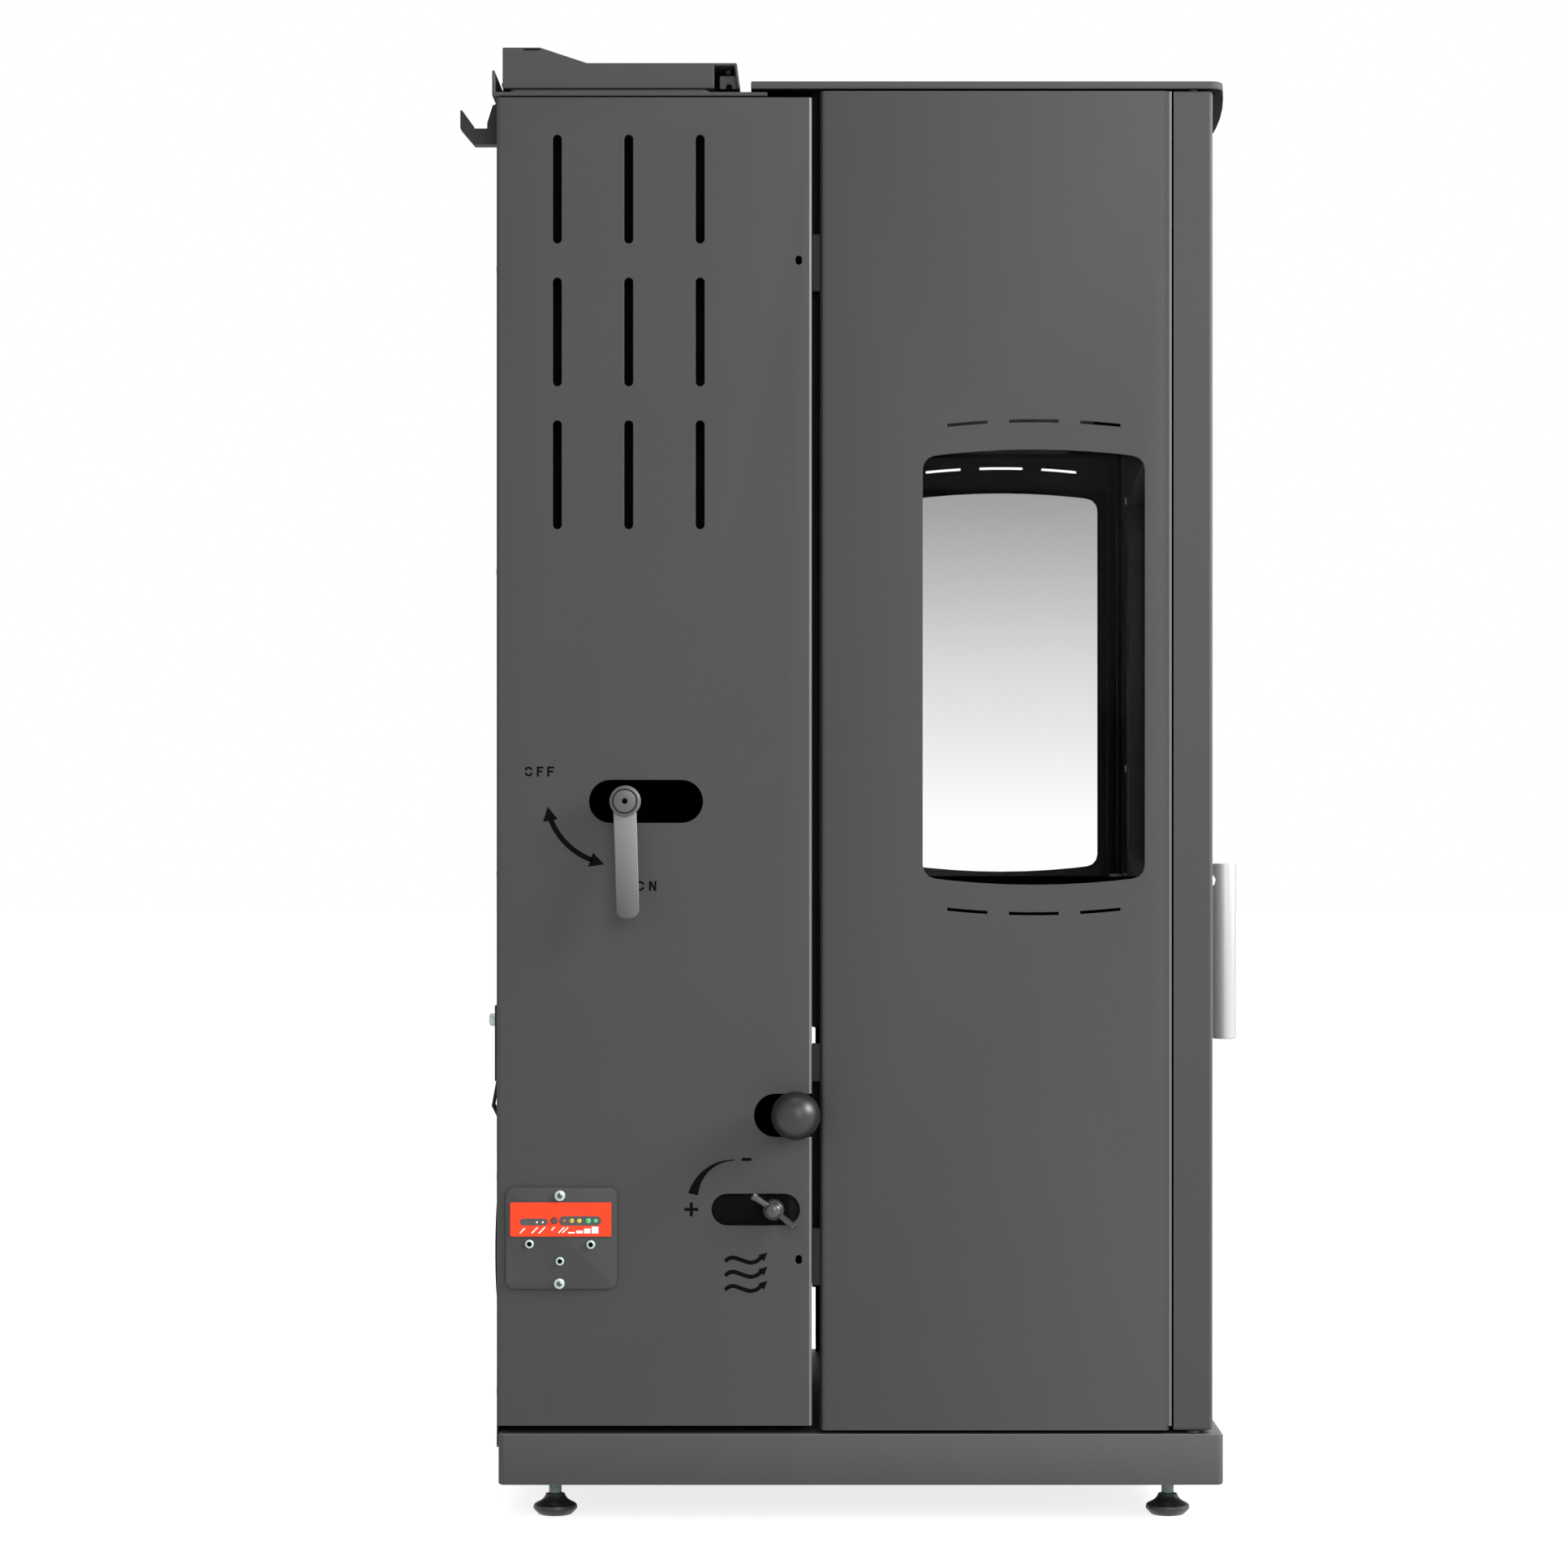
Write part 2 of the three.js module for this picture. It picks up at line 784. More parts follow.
function controlSide() {
  const notch = join(
    punch(-1, slot(notchDepth, shakerZ - 1, 2 * notchRadius, 2 * notchRadius)),
    block(-half - 1, -half + jointReturn + 1, notchDepth, rearModuleDepth + 1,
      shakerZ - 1 - notchRadius, shakerZ - 1 + notchRadius),
  );
  const leverSlot = punch(-1, slot(leverSlotDepth, leverSlotZ, leverSlotLength, leverSlotHeight));
  const airSlot = punch(-1, slot(airSlotDepth, airSlotZ, airSlotLength, airSlotHeight));
  const tieHoles = [tieHoleUpperZ, tieHoleLowerZ].map((z) =>
    punch(-1, slot(tieHoleDepth, z, tieHoleHeight, tieHoleWidth, true, 4)));
  return cut(rearSide(-1), notch, leverSlot, airSlot, ...tieHoles);
}

function windowSide(side) {
  const fold = half - chamberHalf - seat;
  const body = foldedSide(side, windowPanelRear, windowPanelFront, fold, fold,
    frontPanelBottom, bodyTop);
  const opening = punch(side, archedWindow(windowCentre, windowWidth / 2, windowSill, windowHead));
  const dashes = [[dashUpperZ, 1], [dashLowerZ, -1]].flatMap(([crown, upwards]) => [
    [-dashSideEnd, -dashSideStart],
    [-dashMiddleHalf, dashMiddleHalf],
    [dashSideStart, dashSideEnd],
  ].map(([from, to]) => punch(side, archedDash(windowCentre, from, to, crown, upwards))));
  // Clips that reach over the joint to the rear side panel.
  const clip = (z, height) => block(side * (half - clipInset), side * (half - clipInset - clipWidth),
    rearModuleDepth + seat, windowPanelRear + 1, z, z + height);
  const clips = [clip(clipUpperZ, clipUpperHeight), clip(clipLowerZ, clipLowerHeight)];
  if (side < 0) {
    clips.push(clip(clipSmallZ, clipSmallHeight));
  }
  return cut(join(body, ...clips), opening, ...dashes);
}

const casing = assembly();
add(casing, 'control_side_panel', controlSide(), graphite);
add(casing, 'plain_side_panel', rearSide(1), graphite);
sides.forEach(({ side, word }) => {
  add(casing, `window_side_panel_${word}`, windowSide(side), graphite);
});

// ---------------------------------------------------------------------------------------
// Rear panel with clean-out cover, flue opening and tool hook
// ---------------------------------------------------------------------------------------

function rearPanel() {
  const flueHole = bar(spot(0, -rearPanelThickness - 1, flueZ), spot(0, 1, flueZ),
    flueRadius + slideGap, 28);
  return cut(
    block(-rearPanelHalf, rearPanelHalf, -rearPanelThickness, 0, rearPanelBottom, rearPanelTop),
    flueHole,
  );
}

// Cover plate whose lower end is a V-bent tab to pull it off by.
function rearCover() {
  const face = -rearPanelThickness - seat;
  const outer = face - coverThickness;
  const peak = coverBottom - tabDrop * 0.72;
  const cover = block(coverMiddle - coverHalf, coverMiddle + coverHalf, outer, face,
    coverBottom, coverTop);
  const tab = acrossBody(outline([
    [face, coverBottom + 1],
    [outer, coverBottom + 1],
    [face - tabReach, peak],
    [outer, coverBottom - tabDrop],
    [face, coverBottom - tabDrop],
    [face - tabReach + coverThickness, peak],
  ]), coverMiddle - tabHalf, coverMiddle + tabHalf);
  return join(cover, tab);
}

function toolHook() {
  const face = -rearPanelThickness - seat;
  const tip = face - hookReach;
  const shoulder = hookBottom + hookThickness;
  return acrossBody(outline([
    [face, hookBottom],
    [tip + hookBend, hookBottom],
    [tip, shoulder],
    [tip, hookBottom + hookTipRise],
    [tip + hookTipSheet, hookBottom + hookTipRise],
    [tip + hookBend, shoulder + hookTipSheet],
    [tip + hookBend, shoulder],
    [face - hookRoot, shoulder],
    [face - hookRoot, shoulder + hookRootEdge],
    [face - hookRoot / 2, shoulder + hookRootHeight - hookRootEdge / 2],
    [face, shoulder + hookRootHeight],
  ]), hookMiddle - hookWidth / 2, hookMiddle + hookWidth / 2);
}

const rear = assembly();
add(rear, 'rear_panel', rearPanel(), graphite);
add(rear, 'rear_cover', rearCover(), iron);
add(rear, 'tool_hook', toolHook(), iron);

// ---------------------------------------------------------------------------------------
// Top plate and hopper deck
// ---------------------------------------------------------------------------------------

function topPlate(steps = 10) {
  const front = doorFront + topPlateOverhang;
  const bow = [];
  for (let k = 1; k < steps; k += 1) {
    const x = half * (1 - (2 * k) / steps);
    bow.push([x, front + topPlateBow * (1 - (x / half) ** 2)]);
  }
  const plan = outline([
    [-half, topPlateRear],
    [half, topPlateRear],
    [half, front, topPlateCorner],
    ...bow,
    [-half, front, topPlateCorner],
  ]);
  const pinHole = bar(spot(hingeX, hingeDepth, topPlateBottom - 1),
    spot(hingeX, hingeDepth, topPlateBottom + doorPinRoot + seat), doorPinRadius + running);
  return cut(
    upBody(plan, topPlateBottom, topPlateBottom + topPlateThickness, topPlateBevel),
    pinHole,
  );
}

function hopperDeck() {
  const deck = block(-deckHalf, deckHalf, deckRear, deckFront, deckBottom, deckTop);
  const upstand = block(-deckHalf, deckHalf, deckRear, deckRear + sheet, deckBottom, upstandTop);
  const mouth = upBody(rectangle(-deckMouthHalf, deckMouthHalf, deckMouthRear, deckMouthFront, 8),
    deckBottom - 1, deckTop + 1);
  return cut(join(deck, upstand), mouth);
}

const top = assembly();
add(top, 'top_plate', topPlate(), graphite);
add(top, 'hopper_deck', hopperDeck(), graphite);

// ---------------------------------------------------------------------------------------
// Hopper lid, its seal and its piano hinge
// ---------------------------------------------------------------------------------------

// Side outline of the lid, drawn inside its sheet by an inset.
function lidOutline(inset, bottom) {
  const slope = (lidRaisedTop - lidTop) / (lidSlopeEnd - lidRaisedEnd);
  const shift = inset * (Math.sqrt(1 + slope ** 2) - 1) / slope;
  return outline([
    [lidRear + inset, bottom],
    [lidFront - inset, bottom],
    [lidFront - inset, lidTop - inset],
    [lidSlopeEnd - shift, lidTop - inset],
    [lidRaisedEnd - shift, lidRaisedTop - inset],
    [lidRear + inset, lidRaisedTop - inset],
  ]);
}

function hopperLid() {
  const shell = acrossBody(lidOutline(0, lidBottom), -lidHalf, lidHalf);
  const hollow = acrossBody(lidOutline(sheet, lidBottom + sheet), -lidHalf + sheet, lidHalf - sheet);
  const mouth = block(-lidHalf + lidRim, lidHalf - lidRim, lidRear + lidRim, lidFront - lidRim,
    lidBottom - 1, lidBottom + sheet + 1);
  // The front edge runs on as a hood with a down-turned lip to lift the lid by.
  const edge = lidFront + hoodReach;
  const hood = acrossBody(outline([
    [lidFront - 1, lidTop],
    [edge - hoodLean, lidTop, 1.5],
    [edge, lidBottom],
    [edge - sheet, lidBottom],
    [edge - hoodLean - sheet, lidTop - sheet],
    [lidFront - 1, lidTop - sheet],
  ]), -lidHalf, lidHalf);
  const gussets = sides.map(({ side }) => {
    const outer = side * (lidHalf - hoodGussetInset);
    const plateBody = acrossBody(outline([
      [lidFront + hoodGussetSetback, lidBottom],
      [edge - sheet / 2, lidBottom],
      [edge - sheet / 2 - hoodLean / 2, lidBottom + hoodGussetHeight],
      [lidFront + hoodGussetSetback, lidBottom + hoodGussetHeight],
    ]), outer, outer - side * sheet);
    const hole = acrossBody(slot(lidFront + hoodHoleSetback, lidBottom + hoodHoleRise,
      hoodHole, hoodHole, false, 4), outer + side, outer - side * (sheet + 1));
    return cut(plateBody, hole);
  });
  return join(cut(shell, hollow, mouth), hood, ...gussets);
}

function lidSeal() {
  const plan = (inset) => rectangle(-lidHalf + inset, lidHalf - inset, lidRear + inset,
    lidFront - inset, 6);
  return cut(
    upBody(plan(sealInset), deckTop + seat, lidBottom - seat),
    upBody(plan(sealInset + sealWidth), deckTop, lidBottom),
  );
}

// Each leaf carries every second knuckle: the first one starts at knuckle 0 or 1.
function hingeLeaf(leafDepth, leafBottom, firstKnuckle) {
  const start = -(hingeKnuckles * hingeKnuckleLength) / 2;
  const wrap = outline([
    [leafDepth, leafBottom],
    [leafDepth + hingeLeafThickness, leafBottom],
    [leafDepth + hingeLeafThickness, hingeAxisZ],
    [leafDepth, hingeAxisZ],
  ]);
  const knuckles = [];
  for (let k = firstKnuckle; k < hingeKnuckles; k += 2) {
    const x0 = start + k * hingeKnuckleLength + hingeKnuckleGap / 2;
    const x1 = start + (k + 1) * hingeKnuckleLength - hingeKnuckleGap / 2;
    knuckles.push(bar(spot(x0, hingeAxisDepth, hingeAxisZ), spot(x1, hingeAxisDepth, hingeAxisZ),
      hingeBarrelRadius, 12));
    knuckles.push(acrossBody(wrap, x0, x1));
  }
  const leaf = block(start, -start, leafDepth, leafDepth + hingeLeafThickness, leafBottom,
    hingeAxisZ - hingeBarrelRadius - 0.6);
  const bore = bar(spot(start - 1, hingeAxisDepth, hingeAxisZ),
    spot(1 - start, hingeAxisDepth, hingeAxisZ), hingePinRadius + running, 12);
  return cut(join(leaf, ...knuckles), bore);
}

const hopperTop = assembly();
add(hopperTop, 'hopper_lid', hopperLid(), graphite);
add(hopperTop, 'lid_seal', lidSeal(), rubber);
add(hopperTop, 'lid_hinge_fixed_leaf', hingeLeaf(deckRear + sheet + seat, fixedLeafBottom, 0), iron);
add(hopperTop, 'lid_hinge_moving_leaf',
  hingeLeaf(lidRear - seat - hingeLeafThickness, movingLeafBottom, 1), iron);
const hingePinHalf = (hingeKnuckles * hingeKnuckleLength) / 2;
add(hopperTop, 'lid_hinge_pin', bar(spot(-hingePinHalf, hingeAxisDepth, hingeAxisZ),
  spot(hingePinHalf, hingeAxisDepth, hingeAxisZ), hingePinRadius, 12), steel);

// ---------------------------------------------------------------------------------------
// Hopper bin, feed housing, flap and chute
// ---------------------------------------------------------------------------------------

function hopperBin() {
  const topZ = deckBottom - seat;
  const shell = (inset, rise) => {
    const reach = feedSquare / 2 - inset;
    const throat = [-reach, reach, feedDepth - reach, feedDepth + reach];
    const full = [-hopperHalf + inset, hopperHalf - inset, hopperRear + inset, hopperFront - inset];
    return join(
      block(...full, hopperKneeZ, topZ + rise),
      taper([...throat, hopperThroatZ], [...full, hopperKneeZ]),
      block(...throat, hopperThroatZ - rise, hopperThroatZ + 1),
    );
  };
  const rim = block(-hopperHalf - hopperRim, hopperHalf + hopperRim, hopperRear - hopperRim / 2,
    hopperFront + hopperRim, topZ - hopperSheet, topZ);
  return cut(join(shell(0, 0), rim), shell(hopperSheet, 1));
}

function feedHousing() {
  const reach = feedSquare / 2;
  const inner = reach - hopperSheet;
  const outlet = feedOutletSquare / 2 - hopperSheet;
  const topZ = hopperThroatZ - seat;
  const housing = block(-reach, reach, feedDepth - reach, feedDepth + reach, feedHousingBottom, topZ);
  const hollow = block(-inner, inner, feedDepth - inner, feedDepth + inner,
    feedHousingBottom + hopperSheet, topZ + 1);
  const outletHole = block(-outlet, outlet, feedDepth - outlet, feedDepth + outlet,
    feedHousingBottom - 1, feedHousingBottom + hopperSheet + 1);
  const bearings = sides.map(({ side }) => bar(
    spot(side * (reach - 1), feedDepth, feedShaftZ),
    spot(side * (reach + bearingLength), feedDepth, feedShaftZ),
    bearingRadius,
  ));
  const bore = bar(spot(-reach - bearingLength - 1, feedDepth, feedShaftZ),
    spot(reach + bearingLength + 1, feedDepth, feedShaftZ), feedShaftRadius + running);
  return cut(join(cut(housing, hollow), ...bearings), outletHole, bore);
}

const leverHubX = -half - leverHubStart;

function feedFlap() {
  const flap = block(-flapWidth / 2, flapWidth / 2, feedDepth - flapThickness / 2,
    feedDepth + flapThickness / 2, feedShaftZ - flapLength / 2, feedShaftZ + flapLength / 2);
  const ends = [-flapWidth / 2, flapWidth / 2].map((x) => spot(x, feedDepth, feedShaftZ));
  return cut(join(flap, bar(...ends, flapHubRadius, 16)),
    bar(spot(-flapWidth, feedDepth, feedShaftZ), spot(flapWidth, feedDepth, feedShaftZ),
      feedShaftRadius + running));
}

// The chute's side outline: a short upright neck that turns into the slope to the burn pot.
function chuteOutline(inset) {
  const rearFace = feedDepth - feedOutletSquare / 2 + inset;
  const frontFace = feedDepth + feedOutletSquare / 2 - inset;
  const slant = inset * Math.hypot(1, chuteSlope);
  const end = chuteEnd + (inset > 0 ? 1 : 0);
  const topZ = feedHousingBottom - seat + (inset > 0 ? 1 : 0);
  const upperAt = (depth) => chuteUpperStart - slant
    - chuteSlope * (depth - feedDepth - feedOutletSquare / 2);
  const lowerAt = (depth) => chuteLowerStart + slant
    - chuteSlope * (depth - feedDepth + feedOutletSquare / 2);
  return outline([
    [rearFace, topZ],
    [rearFace, lowerAt(rearFace)],
    [end, lowerAt(end)],
    [end, upperAt(end)],
    [frontFace, upperAt(frontFace)],
    [frontFace, topZ],
  ]);
}

function feedChute() {
  const reach = feedOutletSquare / 2;
  return cut(
    acrossBody(chuteOutline(0), -reach, reach),
    acrossBody(chuteOutline(hopperSheet), -reach + hopperSheet, reach - hopperSheet),
  );
}

const feed = assembly();
add(feed, 'hopper_bin', hopperBin(), soot);
add(feed, 'feed_housing', feedHousing(), soot);
add(feed, 'feed_chute', feedChute(), soot);

const feedShaft = bar(spot(leverHubX - leverHubLength + leverHubCap, feedDepth, feedShaftZ),
  spot(feedShaftEnd, feedDepth, feedShaftZ), feedShaftRadius);
add(feed, 'feed_shaft', feedShaft, steel);
add(feed, 'feed_flap', feedFlap(), iron);

// The lever hangs from its hub on the shaft's end: a strip that bends outwards on its way
// down, cut to its front outline. It is drawn about the shaft's axis.
function feedLever() {
  const discEnd = -leverHubLength - leverDiscLength;
  const hub = turned([
    [0, 0],
    [leverHubRadius, 0],
    [leverHubRadius, leverHubLength - 2],
    [leverHubRadius - 1.5, leverHubLength],
    [leverDiscRadius, leverHubLength],
    [leverDiscRadius, -discEnd - 1],
    [leverDiscRadius - 1, -discEnd],
    [0, -discEnd],
  ], new THREE.Vector3(), right.clone().negate(), 24);
  const steps = 6;
  const outerEdge = [];
  const innerEdge = [];
  for (let k = 0; k <= steps; k += 1) {
    const drop = (leverArmLength * k) / steps;
    const x = -leverHubLength / 2 - leverArmFlare * (k / steps) ** 1.5;
    outerEdge.push([x - leverArmThickness / 2, -drop]);
    innerEdge.unshift([x + leverArmThickness / 2, -drop]);
  }
  const strip = throughBody(outline([...outerEdge, ...innerEdge]),
    -leverArmWidth / 2, leverArmWidth / 2);
  const round = acrossBody(outline([
    [-leverArmWidth / 2, 0],
    [-leverArmWidth / 2, -leverArmLength, leverArmWidth * 0.36],
    [leverArmWidth / 2, -leverArmLength, leverArmWidth * 0.36],
    [leverArmWidth / 2, 0],
  ]), -leverHubLength - leverArmFlare - leverArmThickness, 1);
  const bore = bar(new THREE.Vector3(1, 0, 0),
    new THREE.Vector3(leverHubCap - leverHubLength - seat, 0, 0), feedShaftRadius + running);
  return cut(join(hub, strip.intersect(round)), bore);
}

const lever = assembly(feed);
lever.position.copy(spot(leverHubX, feedDepth, feedShaftZ));
lever.rotation.x = -THREE.MathUtils.degToRad(leverTilt);
add(lever, 'feed_lever', feedLever(), greySteel);

// ---------------------------------------------------------------------------------------
// Firebox
// ---------------------------------------------------------------------------------------

const firebox = assembly();
const chuteHoleHalf = feedOutletSquare / 2 + seat;

function fireboxBack() {
  const back = block(-chamberHalf, chamberHalf, backPlateRear, backPlateRear + backPlateThickness,
    upperBackBottom, wallTop);
  const chuteMiddle = (depth) => chuteUpperStart
    - chuteSlope * (depth - feedDepth - feedOutletSquare / 2);
  const chuteHole = block(-chuteHoleHalf, chuteHoleHalf, backPlateRear - 1,
    backPlateRear + backPlateThickness + 1, upperBackBottom - 1, chuteMiddle(backPlateRear) + seat);
  const smokeHole = block(ductInnerX + 2 * ductSheet, ductOuterX - 2 * ductSheet, backPlateRear - 1,
    backPlateRear + backPlateThickness + 1, smokeHoleBottom, smokeHoleTop);
  return cut(back, chuteHole, smokeHole);
}

function ashBack() {
  const front = backPlateRear + backPlateThickness;
  const back = block(-chamberHalf, chamberHalf, backPlateRear, front, lowerBackBottom, lowerBackTop);
  const rodHole = bar(spot(shakerArmX, backPlateRear - 1, shakerZ), spot(shakerArmX, front + 1, shakerZ),
    shakerRadius + 1);
  const airHole = block(airOutletOuter, airOutletInner, backPlateRear - 1, front + 1,
    airOutletBottom, airOutletTop);
  return cut(back, rodHole, airHole);
}

function fireboxWall(side) {
  const wall = block(side * chamberInner, side * chamberHalf, chamberRear, seatFrameRear - seat,
    chamberBottom, wallTop);
  const opening = acrossBody(rectangle(wallOpeningRear, wallOpeningFront, wallOpeningBottom,
    wallOpeningTop, windowCorner), side * (chamberInner - 1), side * (chamberHalf + 1));
  return cut(wall, opening);
}

function seatFrame() {
  const inner = chamberHalf - seatFrameSide;
  return cut(
    block(-chamberHalf, chamberHalf, seatFrameRear, chamberFront, chamberBottom, wallTop),
    throughBody(rectangle(-inner, inner, chamberBottom + seatFrameBottom, wallTop - seatFrameTop, 12),
      seatFrameRear - 1, chamberFront + 1),
  );
}

// The shelf over the ash drawer: a hole for the burn pot, a notch where the latch turns.
function fireboxShelf() {
  const inner = chamberInner - seat;
  const shelfFront = seatFrameRear - seat;
  const under = shelfTop - plate - 1;
  return cut(
    block(-inner, inner, chamberRear, shelfFront, shelfTop - plate, shelfTop),
    block(-potHalfTop - 1, potHalfTop + 1, potRear - 1, potFrontTop + 1, under, shelfTop + 1),
    block(handleX - latchRoom, inner + 1, shelfFront - latchRoom, shelfFront + 1, under,
      shelfTop + 1),
  );
}

add(firebox, 'firebox_back', fireboxBack(), soot);
add(firebox, 'ash_compartment_back', ashBack(), soot);
sides.forEach(({ side, word }) => {
  add(firebox, `firebox_wall_${word}`, fireboxWall(side), soot);
});
add(firebox, 'door_seat_frame', seatFrame(), soot);
add(firebox, 'firebox_shelf', fireboxShelf(), soot);
add(firebox, 'baffle', block(-chamberInner + seat, chamberInner - seat, chamberRear, baffleFront,
  baffleZ, baffleZ + plate), soot);
add(firebox, 'firebox_roof', block(-chamberHalf, chamberHalf, backPlateRear, chamberFront,
  chamberRoof - plate, chamberRoof), soot);

// Each side glass lies on its firebox wall, held round its edge by a sheet frame.
function sideGlass(side) {
  const x = chamberHalf + seat;
  return acrossBody(rectangle(wallOpeningRear - glassSideOverlap, wallOpeningFront + glassSideOverlap,
    wallOpeningBottom - glassOverlap, wallOpeningTop + glassOverlap, 4), side * x,
  side * (x + glassThickness));
}

function glassRetainer(side) {
  const face = chamberHalf + seat;
  const over = face + glassThickness + seat;
  const rim = (grow) => rectangle(wallOpeningRear - grow, wallOpeningFront + Math.min(grow, 9),
    wallOpeningBottom - grow, wallOpeningTop + grow, 4);
  const frame = acrossBody(rim(retainerBorder), side * face, side * (over + retainerThickness));
  const glassSpace = acrossBody(rim(glassOverlap + seat), side * (face - 1), side * over);
  const view = acrossBody(rim(3), side * (face - 1), side * (over + retainerThickness + 1));
  return cut(frame, glassSpace, view);
}

sides.forEach(({ side, word }) => {
  add(firebox, `side_glass_${word}`, sideGlass(side), clear);
  add(firebox, `glass_retainer_${word}`, glassRetainer(side), soot);
});

// ---------------------------------------------------------------------------------------
// Burn pot with its sliding grate
// ---------------------------------------------------------------------------------------

function burnPot() {
  const potTop = shelfTop + seat + potFlangeThickness;
  const body = (inset, rise) => taper(
    [-potHalfBottom + inset, potHalfBottom - inset, potRear + inset, potFrontBottom - inset,
      potBottom - rise],
    [-potHalfTop + inset, potHalfTop - inset, potRear + inset, potFrontTop - inset,
      potTop + rise],
  );
  const flange = block(-potHalfTop - potFlange, potHalfTop + potFlange, potRear - potFlange / 2,
    potFrontTop + potFlange, shelfTop + seat, potTop);
  const inletHalf = feedOutletSquare / 2 - hopperSheet;
  const slopeMiddle = (chuteUpperStart + chuteLowerStart) / 2
    - chuteSlope * (potRear - feedDepth);
  const inletReach = 18;
  const inlet = block(-inletHalf, inletHalf, potRear - 1, potRear + potWall + 1,
    slopeMiddle - inletReach, slopeMiddle + inletReach);
  const holes = [];
  [potHoleRowLow, potHoleRowHigh].forEach((z) => {
    for (let k = 0; k < potHoleCount; k += 1) {
      const depth = potRear + potHoleStart + k * potHolePitch;
      holes.push(bar(spot(-potHalfTop - 5, depth, z), spot(potHalfTop + 5, depth, z),
        potHoleRadius, 8));
    }
  });
  // Two folded rails under the pot, in which the grate slides.
  const rails = sides.map(({ side }) => {
    const inner = side * (potHalfBottom + slideGap);
    const outer = side * (potHalfBottom + slideGap + grateRail);
    const under = side * (potHalfBottom - 2 * grateRail);
    const lowest = grateBottom - slideGap - grateRail;
    return join(
      block(inner, outer, potRear + potWall, potFrontBottom, lowest, potBottom + grateRailOverlap),
      block(under, outer, potRear + potWall, potFrontBottom, lowest, grateBottom - slideGap),
      block(side * (potHalfBottom - 2), outer, potRear + potWall, potFrontBottom, potBottom,
        potBottom + grateRail),
    );
  });
  return cut(join(cut(body(0, 0), body(potWall, 1)), cut(flange, body(potWall, 1)), ...rails),
    inlet, ...holes);
}

function grate() {
  const plateBody = block(-potHalfBottom, potHalfBottom, potRear + potWall, potFrontBottom + grateTongue,
    grateBottom, grateTop);
  const slots = [];
  for (let k = 0; k < grateSlotCount; k += 1) {
    const depth = potRear + grateSlotStart + k * grateSlotPitch;
    slots.push(upBody(slot(0, depth, 2 * (potHalfBottom - grateSlotMargin), grateSlotWidth, false, 3),
      grateBottom - 1, grateTop + 1));
  }
  return cut(plateBody, ...slots);
}

const burner = assembly();
add(burner, 'burn_pot', burnPot(), iron);
add(burner, 'grate', grate(), iron);

// The shaker rod runs in from the ball knob and turns forwards to the grate's rear edge.
function shakerRod() {
  const knobEnd = spot(-half - ballRadius + ballRodDepth, shakerDepth, shakerZ);
  const corner = spot(shakerArmX, shakerDepth, shakerZ);
  const grateEnd = spot(shakerArmX, potRear + potWall - seat, shakerZ);
  const elbow = solid(new THREE.SphereGeometry(shakerRadius, 16, 8).translate(...corner));
  return join(bar(knobEnd, corner, shakerRadius, 16), bar(corner, grateEnd, shakerArmRadius, 16),
    elbow);
}

function ballKnob() {
  const steps = 10;
  const boreRadius = shakerRadius + running;
  const profile = [[0, 0]];
  for (let k = 1; k < steps; k += 1) {
    const angle = (Math.PI * k) / steps;
    profile.push([ballRadius * Math.sin(angle), ballRadius * (1 - Math.cos(angle))]);
  }
  profile.push([0, 2 * ballRadius]);
  const ball = turned(profile, new THREE.Vector3(ballRadius, 0, 0), right.clone().negate(), 24);
  const bore = bar(new THREE.Vector3(ballRadius + 1, 0, 0),
    new THREE.Vector3(ballRadius - ballBoreDepth - 1, 0, 0), boreRadius, 16);
  return cut(ball, bore);
}

const ballCentreX = -half - ballRadius + 1;
add(burner, 'shaker_rod', shakerRod(), steel);
add(burner, 'ball_knob', ballKnob(), bakelite).position.copy(
  spot(ballCentreX, shakerDepth, shakerZ),
);

// ---------------------------------------------------------------------------------------
// Air inlet: duct, sliding damper and the wing nut that clamps it
// ---------------------------------------------------------------------------------------

// The duct stays behind the side panel's fold; a collar takes its outlet to the firebox.
function airDuct() {
  const front = rearModuleDepth - sheet - seat;
  const duct = block(-airDuctOuterX, airDuctInner, airDuctRear, front, airDuctBottom, airDuctTop);
  const collar = block(airOutletOuter - ductSheet, airOutletInner + ductSheet, front - 1, ductFront,
    airOutletBottom - ductSheet, airOutletTop + ductSheet);
  const hollow = block(-airDuctOuterX + ductSheet, airDuctInner - ductSheet, airDuctRear + ductSheet,
    front - ductSheet, airDuctBottom + ductSheet, airDuctTop - ductSheet);
  const port = block(-airDuctOuterX - 1, -airDuctOuterX + ductSheet + 1, airPortRear, airPortFront,
    airSlotZ - airSlotHeight / 2 + 1, airSlotZ + airSlotHeight / 2 - 1);
  const outlet = block(airOutletOuter, airOutletInner, front - ductSheet - 1, ductFront + 1,
    airOutletBottom, airOutletTop);
  return cut(join(duct, collar), hollow, port, outlet);
}

function airDamper() {
  const inner = -damperOuterX + damperThickness;
  const shutter = block(-damperOuterX, inner, damperRear, damperFront,
    airSlotZ - damperHeight / 2, airSlotZ + damperHeight / 2);
  const stud = bar(spot(inner - 0.5, damperStudDepth, airSlotZ),
    spot(-half - studReach, damperStudDepth, airSlotZ), studRadius, 16);
  return join(shutter, stud);
}

